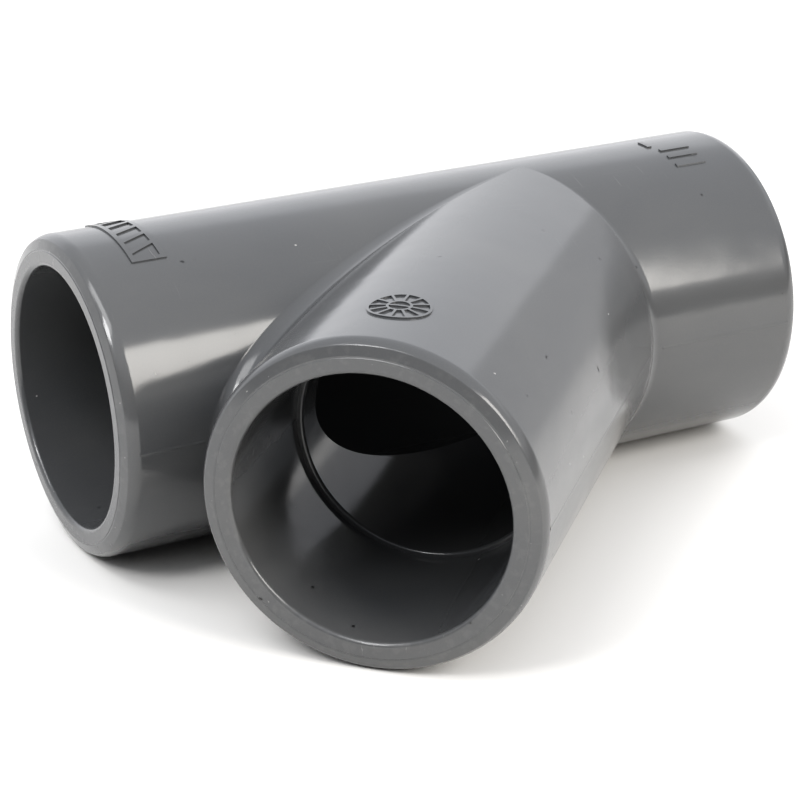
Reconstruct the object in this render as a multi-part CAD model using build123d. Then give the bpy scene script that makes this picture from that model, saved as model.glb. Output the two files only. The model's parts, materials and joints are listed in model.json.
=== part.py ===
"""45 degree equal tee (lateral) for 32 mm PVC-U pressure pipe, with three plain solvent-cement sockets.

The origin is where the two centrelines cross. The run lies along X, with its long limb towards -X.
The branch leaves the run towards -X and -Y, at 45 degrees to it, and both centrelines lie in the XY plane.
The moulding is divided where its sockets begin, so that each socket is a node of its own.
"""
import os
from math import cos, radians, sin

from build123d import *

# Driving dimensions, in mm and degrees
branch_angle = 45.0      # between the run's long limb and the branch
barrel_r = 20.0          # outside of all three barrels
socket_r = 16.15         # inside of the sockets, for a pipe of 32 mm outside diameter
waterway_r = 15.4        # beyond the pipe stops
long_length = 64.0       # centre to mouth, on the run's long limb
short_length = 31.0      # centre to mouth, on the run's short limb
branch_length = 65.0     # centre to mouth, on the branch
socket_depth = 22.5      # mouth to pipe stop
web_r = 2.2              # fillet between the branch and the run

# Mouth of each socket
lead_in_r = 0.6          # rounding between the bore and the end face
land_r = 18.05           # the inner part of the end face stands proud of the rest by land_step
land_step = 0.08
face_r = 18.3            # outer edge of the flat end face
bevel_r = 19.45          # outer edge of the bevel around the face
bevel_depth = 0.5
edge_depth = 1.3         # how far back the barrel reaches its full size

# Raised marks on the barrels
mark_height = 0.2
line_width = 0.6
panel_centre_x = -55.0   # blank panel, over the top of the long limb
panel_width = 4.4
panel_half_angle = 22.0  # it runs this far down each side of the top
panel_bars = 5
panel_slant = 25.0
size_centre_x = 22.0     # plain bars that stand for the pipe size, on the short limb
size_first_y = -6.4
size_bar_length = 4.4
size_bar_pitch = 2.0
size_bars = 3
dash_x = 19.2            # short dash beside the bars, nearer the top
dash_y = 0.3
dash_length = 2.4
dial_from_mouth = 11.3   # date dial, on top of the branch
dial_r = 3.7
dial_hub_r = 1.5
dial_ticks = 12

# Parting line of the mould: a low ridge with sloping sides, in the plane of the centrelines
flash_height = 0.05
flash_width = 0.5
flash_gap = 0.5          # it stops this far short of a web or a rounded edge

run_dir = Vector(1, 0, 0)
long_dir = Vector(-1, 0, 0)
branch_dir = Vector(-cos(radians(branch_angle)), -sin(radians(branch_angle)), 0)
acute_half = branch_angle / 2
obtuse_half = 90 - branch_angle / 2
acute_bisector = 180 + branch_angle / 2
obtuse_bisector = acute_bisector + 90
huge = 4 * long_length


def along(direction, distance=0.0):
    """Plane square to a limb, at this distance from the centre, with its local X upwards."""
    return Plane(origin=direction * distance, x_dir=(0, 0, 1), z_dir=direction)


def cylinder(direction, radius, start, end):
    """Solid cylinder along a limb, between two distances from the centre."""
    return along(direction, start) * extrude(Circle(radius), end - start)


def turned(direction, outline):
    """Solid of revolution about a limb, from an outline of radius against distance."""
    return along(direction) * revolve(Plane.XZ * make_face(outline), Axis.Z)


def barrel(direction, length):
    """Outside of one limb, from the centre to its mouth, with a stepped end face and an edge eased twice."""
    return turned(direction, Polyline(
        (0, 0), (0, length), (land_r, length), (land_r + land_step, length - land_step),
        (face_r, length - land_step), (bevel_r, length - bevel_depth), (barrel_r, length - edge_depth),
        (barrel_r, 0), (0, 0),
    ))


def cavity(direction, length):
    """Hollow of one limb: the waterway, the socket and its rounded edge."""
    stop = length - socket_depth
    hollow = cylinder(direction, waterway_r, 0, stop + 1)
    hollow += cylinder(direction, socket_r, stop, length)
    begin = (socket_r, length - lead_in_r)
    finish = (socket_r + lead_in_r, length)
    bend = (socket_r + lead_in_r * (1 - cos(radians(45))), length - lead_in_r * (1 - sin(radians(45))))
    flare = ThreePointArc(begin, bend, finish)
    flare += Polyline(finish, (finish[0], length + 1), (0, length + 1), (0, begin[1]), begin)
    return hollow + turned(direction, flare)


def web(bisector, half_angle, sections, first_turn, overlap, depth):
    """Filler between two barrels, bounded by a concave arc at every height.

    Each horizontal slice is the slice at mid height made smaller, so the fillet narrows to nothing at the
    top, where both barrels are level. The arc bites into the barrels by the fraction overlap.
    """
    outward = Vector(cos(radians(bisector)), sin(radians(bisector)), 0)
    across = Vector(-outward.Y, outward.X, 0)
    spread = sin(radians(half_angle))
    reach = cos(radians(half_angle))
    slices = []
    for i in range(sections):
        turn = radians(first_turn + (180 - 2 * first_turn) * i / (sections - 1))
        height = Vector(0, 0, barrel_r * cos(turn))
        shrink = sin(turn)
        corner = outward * (barrel_r * shrink / spread)
        centre = outward * ((barrel_r + web_r) * shrink / spread)
        arc_r = web_r * shrink * (1 + overlap)
        first = centre + (across * reach - outward * spread) * arc_r + height
        middle = centre - outward * arc_r + height
        last = centre - (across * reach + outward * spread) * arc_r + height
        inside = corner - (centre - corner) * 0.2 - outward * (depth * shrink) + height
        edges = [ThreePointArc(first, middle, last), Line(last, inside), Line(inside, first)]
        slices.append(Face(Wire(edges)))
    return loft(slices)


def moulding():
    """The whole fitting in one solid."""
    run = barrel(long_dir, long_length) + barrel(run_dir, short_length)
    outside = run + barrel(branch_dir, branch_length)
    outside += web(acute_bisector, acute_half, 17, 20, 0.02, 2)
    outside += web(obtuse_bisector, obtuse_half, 17, 20, 0.02, 2)
    outside -= cavity(long_dir, long_length)
    outside -= cavity(run_dir, short_length)
    return outside - cavity(branch_dir, branch_length)


def beyond(direction, distance, side=None):
    """All space beyond a plane square to a limb, on one side of the bisector between long limb and branch."""
    space = along(direction, distance) * extrude(Rectangle(huge, huge), huge)
    if side is None:
        return space
    normal = Vector(-sin(radians(acute_bisector)), cos(radians(acute_bisector)), 0) * side
    return space & Plane(origin=(0, 0, 0), z_dir=normal) * extrude(Rectangle(huge, huge), huge)


def raised(pattern, direction, start, end):
    """A flat pattern pressed down onto the top of a barrel, as marks of even height."""
    shell = cylinder(direction, barrel_r + mark_height, start, end)
    shell -= cylinder(direction, barrel_r, start, end)
    return Pos(0, 0, barrel_r / 2) * extrude(pattern, barrel_r) & shell


def maker_panel():
    """Blank panel: a raised frame over the top of the long limb, crossed by plain slanted bars."""
    half_length = barrel_r * sin(radians(panel_half_angle))
    outside = Rectangle(panel_width, 2 * half_length)
    frame = outside - Rectangle(panel_width - 2 * line_width, 2 * (half_length - line_width))
    pitch = 2 * half_length / (panel_bars + 1)
    for i in range(panel_bars):
        place = Pos(0, pitch * (i + 1) - half_length) * Rot(0, 0, panel_slant)
        frame += place * Rectangle(panel_width, line_width) & outside
    pattern = Pos(panel_centre_x, 0) * frame
    return raised(pattern, long_dir, -panel_centre_x - panel_width, -panel_centre_x + panel_width)


def size_mark():
    """Plain bars in a row across the short limb, and one dash after them."""
    pattern = Pos(dash_x, dash_y) * Rectangle(line_width, dash_length)
    for i in range(size_bars):
        place = Pos(size_centre_x, size_first_y + size_bar_pitch * i)
        pattern += place * Rectangle(size_bar_length, line_width)
    return raised(pattern, run_dir, size_centre_x - size_bar_length, size_centre_x + size_bar_length)


def date_dial():
    """Round date dial: an outer ring, a hub ring with a pointer, and a tick for each month."""
    line = line_width / 2
    dial = Circle(dial_r) - Circle(dial_r - line)
    dial += Circle(dial_hub_r) - Circle(dial_hub_r - line)
    dial += Rectangle(line, 2 * dial_hub_r - line)
    tick = Pos((dial_r + dial_hub_r - line) / 2, 0) * Rectangle(dial_r - dial_hub_r, line)
    for i in range(dial_ticks):
        dial += Rot(0, 0, 360 / dial_ticks * i) * tick
    centre = branch_length - dial_from_mouth
    pattern = Pos(branch_dir * centre) * Rot(0, 0, branch_angle) * dial
    return raised(pattern, branch_dir, centre - 2 * dial_r, centre + 2 * dial_r)


def ridge(direction, side, start, end):
    """One length of the parting line, on the left (1) or right (-1) of a limb seen from the centre."""
    out = Vector(-direction.Y, direction.X, 0) * side
    foot = (-6 * flash_height, 3.5 * flash_width)
    profile = Polygon((flash_height, 0), foot, (foot[0], -foot[1]), align=None)
    place = Plane(origin=direction * start + out * barrel_r, x_dir=out, z_dir=direction)
    return place * extrude(profile, end - start) - cylinder(direction, barrel_r, start - 1, end + 1)


def parting_line():
    """The parting line along the sides of the three limbs, with gaps at the webs."""
    crotch = (barrel_r + web_r) / sin(radians(acute_half)) * cos(radians(acute_half)) + flash_gap
    heel = (barrel_r + web_r) / sin(radians(obtuse_half)) * cos(radians(obtuse_half)) + flash_gap
    trim = edge_depth + flash_gap
    back = ridge(long_dir, -1, -short_length + trim, long_length - trim)
    inner = ridge(long_dir, 1, crotch, long_length - trim)
    inner += ridge(branch_dir, -1, crotch, branch_length - trim)
    outer = ridge(run_dir, -1, heel, short_length - trim)
    outer += ridge(branch_dir, 1, heel, branch_length - trim)
    return back + inner + outer


body = moulding()
long_space = beyond(long_dir, long_length - socket_depth, -1)
short_space = beyond(run_dir, short_length - socket_depth)
branch_space = beyond(branch_dir, branch_length - socket_depth, 1)

nodes = {
    "junction_body": body - long_space - short_space - branch_space,
    "socket_run_inlet": body & long_space,
    "socket_run_outlet": body & short_space,
    "socket_branch": body & branch_space,
    "maker_panel": maker_panel(),
    "size_mark": size_mark(),
    "date_dial": date_dial(),
    "parting_line": parting_line(),
}

os.makedirs("parts", exist_ok=True)
for name, shape in nodes.items():
    export_step(shape, f"parts/{name}.step")
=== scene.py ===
"""The looks of the 45 degree PVC tee: the moulding with its webs and mouths, its marks and a studio."""
import json
from math import atan2, cos, pi, radians, sin, tan

import bmesh
import bpy
from mathutils import Matrix, Vector


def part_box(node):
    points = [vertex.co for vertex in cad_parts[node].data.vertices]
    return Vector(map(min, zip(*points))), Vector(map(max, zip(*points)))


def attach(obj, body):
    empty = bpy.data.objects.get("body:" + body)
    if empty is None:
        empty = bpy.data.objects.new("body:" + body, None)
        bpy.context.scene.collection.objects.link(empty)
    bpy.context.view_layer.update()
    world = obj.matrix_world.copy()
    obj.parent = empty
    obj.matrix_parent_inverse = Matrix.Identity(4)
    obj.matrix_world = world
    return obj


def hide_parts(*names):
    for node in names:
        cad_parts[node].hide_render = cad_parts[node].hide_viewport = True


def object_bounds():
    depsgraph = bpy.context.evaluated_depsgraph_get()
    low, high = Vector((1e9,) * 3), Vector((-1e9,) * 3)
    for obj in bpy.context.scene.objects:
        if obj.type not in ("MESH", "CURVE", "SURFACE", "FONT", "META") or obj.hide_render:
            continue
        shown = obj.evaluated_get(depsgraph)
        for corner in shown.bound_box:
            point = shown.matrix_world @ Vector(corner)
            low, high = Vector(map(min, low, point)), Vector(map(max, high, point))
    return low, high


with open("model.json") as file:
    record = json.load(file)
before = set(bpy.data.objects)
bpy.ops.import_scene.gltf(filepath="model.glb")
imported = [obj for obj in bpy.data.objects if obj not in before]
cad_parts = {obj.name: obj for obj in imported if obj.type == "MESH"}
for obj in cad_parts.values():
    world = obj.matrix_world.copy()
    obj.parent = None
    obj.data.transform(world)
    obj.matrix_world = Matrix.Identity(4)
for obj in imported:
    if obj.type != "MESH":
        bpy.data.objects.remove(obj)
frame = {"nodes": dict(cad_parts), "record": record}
cad_low, cad_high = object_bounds()
mounts = {m["name"]: m for m in frame["record"]["mounts"]}

# Sizes in metres: first what the frame says, then the details of a mouth, each measured from its end face
OUTER_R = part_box("socket_run_outlet")[1].y
SOCKET_R = mounts["socket_run_inlet"]["dims"]["r_mm"] / 1000
LEAD_IN_R = 0.0006      # rounding between the bore and the face
LAND_R = 0.01805        # inner part of the face, proud of the rest by LAND_STEP
LAND_STEP = 0.00008
FACE_R = 0.0183
BEVEL_R = 0.01945
BEVEL_DEPTH = 0.0005
EDGE_DEPTH = 0.0013     # the eased edge ends here, and its rounding at PLAIN_FROM
PLAIN_FROM = 0.0023
WATERWAY_R = 0.0154
STOP_LIP = 0.001        # length of waterway that belongs to the pipe stop's outline
WEB_R = 0.0022
CORE_EDGE_R = 0.0003    # rounding where two waterways cross

# Divisions of the meshes
COLUMNS = 192
HALF = COLUMNS // 2
WEB_STEPS = 12
SKIN_STEPS = 12
SOCKET_STEPS = 8
UP = Vector((0, 0, 1))
NO_NORMAL = Vector((0, 0, 0))


# ---------------------------------------------------------------- the moulding

class Limb:
    """One limb: its direction, where its pipe stop and its mouth are, and half the gap to each neighbour."""

    def __init__(self, name):
        mount = mounts[name]
        centre = Vector(mount["pos_m"]).length
        half = mount["dims"]["length_mm"] / 2000
        self.name = name
        self.direction = Vector(mount["axis"]).normalized()
        self.left = UP.cross(self.direction)
        self.stop = centre - half
        self.mouth = centre + half + LEAD_IN_R
        self.left_gap = pi / 2
        self.right_gap = pi / 2

    def point(self, radius, column, along):
        """Point on a cylinder about this limb. Columns count from the top towards the limb's left."""
        turn = 2 * pi * column / COLUMNS
        return self.direction * along + self.left * (radius * sin(turn)) + UP * (radius * cos(turn))

    def normal(self, column, radial, axial=0.0):
        """Unit normal with these radial and axial shares."""
        turn = 2 * pi * column / COLUMNS
        return (self.left * sin(turn) + UP * cos(turn)) * radial + self.direction * axial

    def start(self, radius, web_r, column):
        """How far out the plain cylinder begins, beyond the web that joins it to its neighbour."""
        gap = self.left_gap if column % COLUMNS < HALF else self.right_gap
        return (radius + web_r) * abs(sin(2 * pi * column / COLUMNS)) / tan(gap)

    def split(self, column):
        """Where the outside of the socket begins: at the pipe stop, or beyond the web."""
        return max(self.stop, self.start(OUTER_R, WEB_R, column))

    def owns_web(self, column):
        return self.start(OUTER_R, WEB_R, column) > self.stop


class Piece:
    """A closed mesh gathered from grids of points with their exact normals."""

    def __init__(self, name):
        self.name = name
        self.work = bmesh.new()
        self.exact = self.work.loops.layers.float_vector.new("exact")

    def face(self, corners):
        """Adds a face from (point, normal) corners."""
        made = self.work.faces.new([self.work.verts.new(point) for point, normal in corners])
        for loop, (point, normal) in zip(made.loops, corners):
            loop[self.exact] = normal

    def grid(self, rows):
        for near, far in zip(rows, rows[1:]):
            for i in range(len(near) - 1):
                self.face([near[i], near[i + 1], far[i + 1], far[i]])

    def build(self):
        """The mesh as an object, with points that meet made one, shaded by the exact normals."""
        bmesh.ops.remove_doubles(self.work, verts=self.work.verts, dist=1e-6)
        bmesh.ops.delete(self.work, geom=[e for e in self.work.edges if not e.link_faces], context="EDGES")
        bmesh.ops.recalc_face_normals(self.work, faces=self.work.faces)
        if any(len(edge.link_faces) != 2 for edge in self.work.edges):
            raise ValueError(f"{self.name} isn't closed")
        mesh = bpy.data.meshes.new(self.name)
        self.work.to_mesh(mesh)
        self.work.free()
        mesh.shade_smooth()
        normals = mesh.attributes["exact"]
        mesh.normals_split_custom_set([item.vector.copy() for item in normals.data])
        mesh.attributes.remove(mesh.attributes["exact"])
        obj = bpy.data.objects.new(self.name, mesh)
        bpy.context.scene.collection.objects.link(obj)
        return obj


def turned_rows(limb, outline):
    """Closed rings for an outline of (radius, distance out, radial share, axial share of the normal)."""
    rows = []
    for radius, along, radial, axial in outline:
        rows.append([
            (limb.point(radius, c, along), limb.normal(c, radial, axial)) for c in range(COLUMNS + 1)
        ])
    return rows


def rounded(corners, steps=8):
    """Outline through corners of (radius, distance out, fillet), with the exact normal at each point.

    The outline is followed with the solid on its left, so a turn to the left is a convex edge.
    """
    spots = [Vector(c[:2]) for c in corners]
    ways = [(b - a).normalized() for a, b in zip(spots, spots[1:])]
    normals = [Vector((way.y, -way.x)) for way in ways]
    outline = [(*spots[0], *normals[0])]
    for i in range(1, len(spots) - 1):
        before, after = ways[i - 1], ways[i]
        bend = atan2(before.x * after.y - before.y * after.x, before.dot(after))
        fillet = corners[i][2]
        inside = fillet if bend > 0 else -fillet
        centre = spots[i] - before * (fillet * tan(abs(bend) / 2)) - normals[i - 1] * inside
        count = steps if fillet else 1
        for k in range(count + 1):
            c, s = cos(bend * k / count), sin(bend * k / count)
            n = normals[i - 1]
            normal = Vector((n.x * c - n.y * s, n.x * s + n.y * c))
            outline.append((*(centre + normal * inside), *normal))
    outline.append((*spots[-1], *normals[-1]))
    return outline


def mouth_outline(limb):
    """Outline of a socket from the outside, over its mouth and in to the pipe stop."""
    end = limb.mouth
    return rounded([
        (OUTER_R, end - PLAIN_FROM, 0),
        (OUTER_R, end - EDGE_DEPTH, 0.0024),
        (BEVEL_R, end - BEVEL_DEPTH, 0.00035),
        (FACE_R, end - LAND_STEP, 0.0002),
        (LAND_R + LAND_STEP, end - LAND_STEP, 0),
        (LAND_R, end, 0.00004),
        (SOCKET_R, end, LEAD_IN_R),
        (SOCKET_R, limb.stop, 0),
    ])


def stop_outline(limb):
    """Outline of the pipe stop, from the socket's bore to the waterway."""
    return rounded([
        (SOCKET_R, limb.stop, 0),
        (WATERWAY_R, limb.stop, 0.0004),
        (WATERWAY_R, limb.stop - STOP_LIP, 0),
    ])


def web_row(limb, neighbour, radius, web_r, column, side, inward=1):
    """Half of the web at one height, from its middle to the limb (side 1) or its left neighbour (side -1)."""
    gap = limb.left_gap
    turn = 2 * pi * column / COLUMNS
    outward = (limb.direction + neighbour.direction).normalized()
    across = UP.cross(outward)
    row = []
    for i in range(WEB_STEPS + 1):
        lean = (pi / 2 - gap) * side * i / WEB_STEPS
        level = outward * cos(lean) + across * sin(lean)
        spot = outward * ((radius + web_r) / sin(gap)) - level * web_r
        normal = level * (radius * sin(turn)) + UP * (level.dot(spot) * cos(turn))
        row.append((spot * sin(turn) + UP * (radius * cos(turn)), normal.normalized() * inward))
    return row


def skin_rows(limb, radius, starts, ends, steps, inward=1):
    """Rows of a plain cylinder between two curves, each given as the distance out at every column."""
    rows = []
    for k in range(steps + 1):
        rows.append([
            (limb.point(radius, c, a + (b - a) * k / steps), limb.normal(c, inward))
            for c, (a, b) in enumerate(zip(starts, ends))
        ])
    return rows


def division(limb, webs):
    """Faces inside the wall where the socket meets the junction, from the outside in to the pipe stop."""
    faces = []
    inner = [limb.point(SOCKET_R, c, limb.stop) for c in range(COLUMNS + 1)]
    outer = [limb.point(OUTER_R, c, limb.split(c)) for c in range(COLUMNS + 1)]
    for c in range(COLUMNS):
        if limb.owns_web(c) and limb.owns_web(c + 1):
            faces.append([webs[c][0], webs[c + 1][0], inner[c + 1], inner[c]])
        else:
            faces.append([outer[c], outer[c + 1], inner[c + 1], inner[c]])
        if limb.owns_web(c) and limb.owns_web(c - 1) != limb.owns_web(c + 1):
            for a, b in zip(webs[c], webs[c][1:]):
                faces.append([a, b, inner[c]])
    return faces


def moulding():
    """The junction and the three sockets as four closed pieces that meet inside the wall."""
    junction = Piece("junction")
    pieces = [junction]
    columns = range(COLUMNS + 1)
    for i, limb in enumerate(limbs):
        socket = Piece(limb.name.replace("socket", "mouth"))
        pieces.append(socket)
        starts = [limb.start(OUTER_R, WEB_R, c) for c in columns]
        splits = [limb.split(c) for c in columns]
        plain = [limb.mouth - PLAIN_FROM for c in columns]
        junction.grid(skin_rows(limb, OUTER_R, starts, splits, SKIN_STEPS))
        socket.grid(skin_rows(limb, OUTER_R, splits, plain, SOCKET_STEPS))
        socket.grid(turned_rows(limb, mouth_outline(limb)))

        junction.grid(turned_rows(limb, stop_outline(limb)))
        core = [limb.start(WATERWAY_R, CORE_EDGE_R, c) for c in columns]
        lip = [limb.stop - STOP_LIP for c in columns]
        junction.grid(skin_rows(limb, WATERWAY_R, core, lip, SKIN_STEPS, -1))

        middles = {}
        for neighbour, side in ((limbs[(i + 1) % 3], 1), (limbs[i - 1], -1)):
            first, second = (limb, neighbour) if side == 1 else (neighbour, limb)
            if first.left_gap > radians(89):
                continue
            own = [c if side == 1 else COLUMNS - c for c in range(HALF + 1)]
            outer = [web_row(first, second, OUTER_R, WEB_R, c, side) for c in range(HALF + 1)]
            inner = [web_row(first, second, WATERWAY_R, CORE_EDGE_R, c, side, -1) for c in range(HALF + 1)]
            junction.grid(inner)
            for c in range(HALF):
                owner = socket if limb.owns_web(own[c]) and limb.owns_web(own[c + 1]) else junction
                owner.grid(outer[c:c + 2])
            middles.update({own[c]: [point for point, normal in outer[c]] for c in range(HALF + 1)})
        for face in division(limb, middles):
            corners = [(point, NO_NORMAL) for point in face]
            socket.face(corners)
            junction.face(corners)
    return [piece.build() for piece in pieces]


long_limb = Limb("socket_run_inlet")
branch = Limb("socket_branch")
short_limb = Limb("socket_run_outlet")
limbs = [long_limb, branch, short_limb]
for limb, neighbour in zip(limbs, limbs[1:]):
    limb.left_gap = neighbour.right_gap = limb.direction.angle(neighbour.direction) / 2

shells = moulding()


# ---------------------------------------------------------------- materials

RIM_FADE = 0.0008, 0.0002    # scuffs grow between these distances from a mouth

def pvc(name):
    """Grey PVC as moulded: flow marks and orange peel, haze, fine scratches, specks and scuffed mouths."""
    material = bpy.data.materials.new(name)
    material.use_nodes = True
    nodes, links = material.node_tree.nodes, material.node_tree.links
    shader = nodes["Principled BSDF"]
    place = nodes.new("ShaderNodeTexCoord")

    def noise(scale, detail=2.0, stretch=(1, 1, 1), turn=(0, 0, 0), distortion=0.0):
        """Noise in the object's own metres: scale counts cells to the metre."""
        mapping = nodes.new("ShaderNodeMapping")
        mapping.inputs["Scale"].default_value = stretch
        mapping.inputs["Rotation"].default_value = [radians(angle) for angle in turn]
        links.new(place.outputs["Object"], mapping.inputs["Vector"])
        texture = nodes.new("ShaderNodeTexNoise")
        texture.inputs["Scale"].default_value = scale
        texture.inputs["Detail"].default_value = detail
        texture.inputs["Distortion"].default_value = distortion
        links.new(mapping.outputs["Vector"], texture.inputs["Vector"])
        return texture.outputs["Fac"]

    def spread(value, first, last, low, high):
        """The value mapped from first..last to low..high, and held there outside."""
        node = nodes.new("ShaderNodeMapRange")
        node.inputs["From Min"].default_value = first
        node.inputs["From Max"].default_value = last
        node.inputs["To Min"].default_value = low
        node.inputs["To Max"].default_value = high
        links.new(value, node.inputs["Value"])
        return node.outputs["Result"]

    def maths(operation, a, b):
        node = nodes.new("ShaderNodeMath")
        node.operation = operation
        for socket, value in zip(node.inputs, (a, b)):
            if isinstance(value, (int, float)):
                socket.default_value = value
            else:
                links.new(value, socket)
        return node.outputs["Value"]

    def tint(base, colour, amount):
        """Mixes a colour over the base by an amount from 0 to 1."""
        node = nodes.new("ShaderNodeMix")
        node.data_type = "RGBA"
        node.inputs["B"].default_value = (*colour, 1)
        if isinstance(base, tuple):
            node.inputs["A"].default_value = (*base, 1)
        else:
            links.new(base, node.inputs["A"])
        links.new(amount, node.inputs["Factor"])
        return node.outputs["Result"]

    flow = noise(38, 3.0, (1, 1, 2.5), (0, 0, 30), 0.6)
    haze = noise(85, 4.0, distortion=0.3)
    waves = noise(140, 1.0, (1, 1, 1.6), (0, 25, 0))
    peel = noise(1500, 2.0)
    grain = noise(6500, 1.0)
    patches = spread(noise(55, 2.0, turn=(20, 40, 10)), 0.52, 0.68, 0, 1)
    lines = spread(noise(420, 2.0, (0.12, 9, 1.2), (0, 15, 62), 0.15), 0.70, 0.76, 0, 1)
    crossing = spread(noise(360, 2.0, (8, 0.10, 1.1), (10, 0, 28), 0.15), 0.71, 0.77, 0, 1)
    scratches = maths("MULTIPLY", maths("MAXIMUM", lines, crossing), patches)
    specks = spread(noise(900, 0.0, turn=(33, 0, 12)), 0.87, 0.90, 0, 1)
    dust = spread(noise(1100, 0.0, turn=(0, 71, 25)), 0.90, 0.93, 0, 1)
    rims = 0.0
    for limb in limbs:
        out = nodes.new("ShaderNodeVectorMath")
        out.operation = "DOT_PRODUCT"
        out.inputs[1].default_value = limb.direction
        links.new(place.outputs["Object"], out.inputs[0])
        near = spread(out.outputs["Value"], limb.mouth - RIM_FADE[0], limb.mouth - RIM_FADE[1], 0, 1)
        rims = maths("MAXIMUM", rims, near)
    wear = maths("MULTIPLY", rims, spread(noise(900, 4.0), 0.52, 0.66, 0, 1))
    nicks = maths("MULTIPLY", rims, spread(noise(1500, 1.0, turn=(15, 0, 50)), 0.78, 0.82, 0, 1))

    colour = tint((0.078, 0.080, 0.083), (0.090, 0.091, 0.092), spread(flow, 0.3, 0.7, 0, 1))
    colour = tint(colour, (0.105, 0.103, 0.098), spread(grain, 0.4, 0.75, 0, 0.25))
    colour = tint(colour, (0.19, 0.187, 0.18), maths("MULTIPLY", wear, 0.10))
    colour = tint(colour, (0.16, 0.158, 0.152), maths("MULTIPLY", scratches, 0.35))
    colour = tint(colour, (0.02, 0.02, 0.02), specks)
    colour = tint(colour, (0.42, 0.41, 0.39), maths("MULTIPLY", maths("MAXIMUM", dust, nicks), 0.8))
    links.new(colour, shader.inputs["Base Color"])

    rough = spread(haze, 0.35, 0.72, 0.12, 0.18)
    rough = maths("ADD", rough, maths("MULTIPLY", wear, 0.08))
    rough = maths("ADD", rough, maths("MULTIPLY", scratches, 0.15))
    rough = maths("ADD", rough, maths("MULTIPLY", maths("MAXIMUM", specks, dust), 0.3))
    links.new(rough, shader.inputs["Roughness"])

    height = maths("ADD", peel, maths("MULTIPLY", flow, 5.0))
    height = maths("ADD", height, maths("MULTIPLY", waves, 13.0))
    height = maths("ADD", height, maths("MULTIPLY", grain, 0.12))
    height = maths("SUBTRACT", height, maths("MULTIPLY", scratches, 0.5))
    height = maths("ADD", height, maths("MULTIPLY", dust, 1.5))
    bump = nodes.new("ShaderNodeBump")
    bump.inputs["Strength"].default_value = 0.6
    bump.inputs["Distance"].default_value = 0.000006
    links.new(height, bump.inputs["Height"])
    links.new(bump.outputs["Normal"], shader.inputs["Normal"])
    shader.inputs["IOR"].default_value = 1.53
    return material


plastic = pvc("pvc_moulded")
stands_for = ["junction_body", "socket_run_inlet", "socket_branch", "socket_run_outlet"]
for shell, node in zip(shells, stands_for):
    shell.data.materials.append(plastic)
    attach(shell, "root")
    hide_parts(node)
for node in ("maker_panel", "size_mark", "date_dial", "parting_line"):
    obj = frame["nodes"][node]
    obj.data.materials.clear()
    obj.data.materials.append(plastic)


# ---------------------------------------------------------------- studio

LIGHT_DISTANCE = 0.8
WALLS = 1.08       # brightness of the room, apart from the areas in room()
BACKDROP = 0.92    # brightness of the room where the camera sees it directly


def floor():
    """Plain pale floor under the object."""
    mesh = bpy.data.meshes.new("floor")
    size = 3.0
    corners = [(-size, -size), (size, -size), (size, size), (-size, size)]
    mesh.from_pydata([(x, y, cad_low.z) for x, y in corners], [], [(0, 1, 2, 3)])
    obj = bpy.data.objects.new("floor", mesh)
    bpy.context.scene.collection.objects.link(obj)
    material = bpy.data.materials.new("floor")
    material.use_nodes = True
    shader = material.node_tree.nodes["Principled BSDF"]
    shader.inputs["Base Color"].default_value = (0.96, 0.945, 0.915, 1)
    shader.inputs["Roughness"].default_value = 0.6
    mesh.materials.append(material)


def softbox(name, azimuth, elevation, width, height, power, colour=(1, 1, 1)):
    """Rectangular light that faces the origin. Azimuth 0 is -Y and 90 is +X, as for the camera."""
    a, e = radians(azimuth), radians(elevation)
    back = Vector((sin(a) * cos(e), -cos(a) * cos(e), sin(e)))
    data = bpy.data.lights.new(name, "AREA")
    data.shape = "RECTANGLE"
    data.size = width
    data.size_y = height
    data.energy = power
    data.color = colour
    obj = bpy.data.objects.new(name, data)
    obj.location = back * LIGHT_DISTANCE
    obj.rotation_mode = "QUATERNION"
    obj.rotation_quaternion = back.to_track_quat("Z", "Y")
    bpy.context.scene.collection.objects.link(obj)


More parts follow.
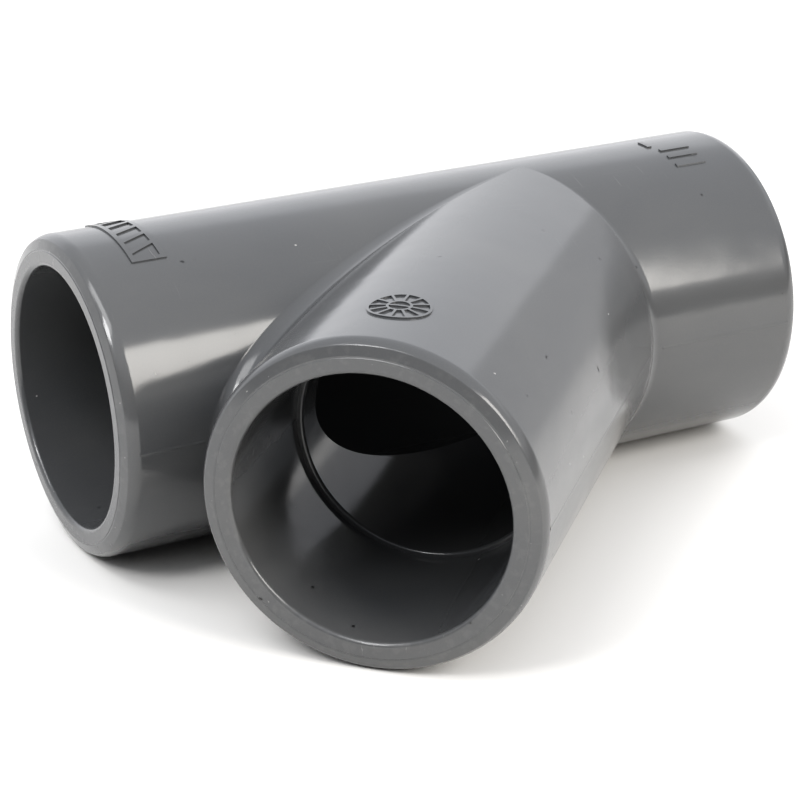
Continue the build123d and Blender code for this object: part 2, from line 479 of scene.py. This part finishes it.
def room():
    """White room, brighter behind, with a greyer wall on the right and a dark front."""
    world = bpy.data.worlds.new("room")
    world.use_nodes = True
    nodes, links = world.node_tree.nodes, world.node_tree.links
    place = nodes.new("ShaderNodeTexCoord")
    parts = nodes.new("ShaderNodeSeparateXYZ")
    links.new(place.outputs["Generated"], parts.inputs[0])

    def towards(azimuth, first, last, low, high):
        """1 towards an azimuth, as its cosine goes from first to last, fading from the height low to high."""
        dot = nodes.new("ShaderNodeVectorMath")
        dot.operation = "DOT_PRODUCT"
        dot.inputs[1].default_value = (sin(radians(azimuth)), -cos(radians(azimuth)), 0)
        links.new(place.outputs["Generated"], dot.inputs[0])
        side = nodes.new("ShaderNodeMapRange")
        side.interpolation_type = "SMOOTHSTEP"
        side.inputs["From Min"].default_value = first
        side.inputs["From Max"].default_value = last
        links.new(dot.outputs["Value"], side.inputs["Value"])
        rise = nodes.new("ShaderNodeMapRange")
        rise.interpolation_type = "SMOOTHSTEP"
        rise.inputs["From Min"].default_value = high
        rise.inputs["From Max"].default_value = low
        links.new(parts.outputs["Z"], rise.inputs["Value"])
        both = nodes.new("ShaderNodeMath")
        both.operation = "MULTIPLY"
        links.new(side.outputs["Result"], both.inputs[0])
        links.new(rise.outputs["Result"], both.inputs[1])
        return both.outputs["Value"]

    level = None
    for mask, value in (
        (towards(140, 0.30, 0.50, 0.45, 0.60), 1.55),    # brighter behind
        (towards(95, 0.825, 0.85, 0.35, 0.45), 0.94),    # greyer wall on the right
        (towards(45, 0.50, 0.80, 0.14, 0.30), 0.03),     # dark on the front right
        (towards(-40, 0.10, 0.60, 0.25, 0.75), 0.16),    # dim on the front left
    ):
        mix = nodes.new("ShaderNodeMix")
        mix.data_type = "FLOAT"
        mix.inputs["A"].default_value = WALLS
        mix.inputs["B"].default_value = value
        links.new(mask, mix.inputs["Factor"])
        if level is not None:
            links.new(level, mix.inputs["A"])
        level = mix.outputs["Result"]
    ray = nodes.new("ShaderNodeLightPath")
    seen = nodes.new("ShaderNodeMix")
    seen.data_type = "FLOAT"
    seen.inputs["B"].default_value = BACKDROP
    links.new(ray.outputs["Is Camera Ray"], seen.inputs["Factor"])
    links.new(level, seen.inputs["A"])
    links.new(seen.outputs["Result"], nodes["Background"].inputs["Strength"])
    height = nodes.new("ShaderNodeMapRange")
    height.inputs["From Min"].default_value = -0.1
    height.inputs["From Max"].default_value = 0.7
    links.new(parts.outputs["Z"], height.inputs["Value"])
    cast = nodes.new("ShaderNodeMix")
    cast.data_type = "RGBA"
    cast.inputs["A"].default_value = (0.97, 0.975, 1, 1)
    cast.inputs["B"].default_value = (0.92, 0.945, 1, 1)
    links.new(height.outputs["Result"], cast.inputs["Factor"])
    links.new(cast.outputs["Result"], nodes["Background"].inputs["Color"])
    bpy.context.scene.world = world


floor()
room()
softbox("window", 24.5, 32, 0.31, 0.42, 3.9, colour=(1, 0.965, 0.91))
softbox("overhead", -80, 60, 0.56, 0.22, 1.8)
softbox("front", -69, 44, 0.18, 0.18, 1.7)

# ---------------------------------------------------------------- camera

azimuth, elevation, roll = radians(-27.967), radians(23.494), radians(0.081)
distance = 0.33112
aside, above = 0.01622, 0.01570
back = Vector((sin(azimuth) * cos(elevation), -cos(azimuth) * cos(elevation), sin(elevation)))
right = Vector((cos(azimuth), sin(azimuth), 0))
up = back.cross(right)
right, up = right * cos(roll) + up * sin(roll), up * cos(roll) - right * sin(roll)
data = bpy.data.cameras.new("camera")
data.lens = 112.63
data.sensor_width = 36
data.shift_x = 0.00625
data.shift_y = 0.0375
data.clip_start = 0.01
data.clip_end = 10
camera = bpy.data.objects.new("camera", data)
camera.matrix_world = Matrix((right, up, back)).transposed().to_4x4()
camera.location = back * distance - right * aside - up * above
bpy.context.scene.collection.objects.link(camera)
bpy.context.scene.camera = camera

# Tone curve: the darkest tones are shown a little darker, and the middle ones a little lighter
view = bpy.context.scene.view_settings
view.view_transform = "Standard"
view.use_curve_mapping = True
tone = view.curve_mapping
for level, shown in ((0.03, 0.014), (0.06, 0.040), (0.1, 0.083), (0.2, 0.192), (0.45, 0.465)):
    tone.curves[3].points.new(level, shown)
tone.update()
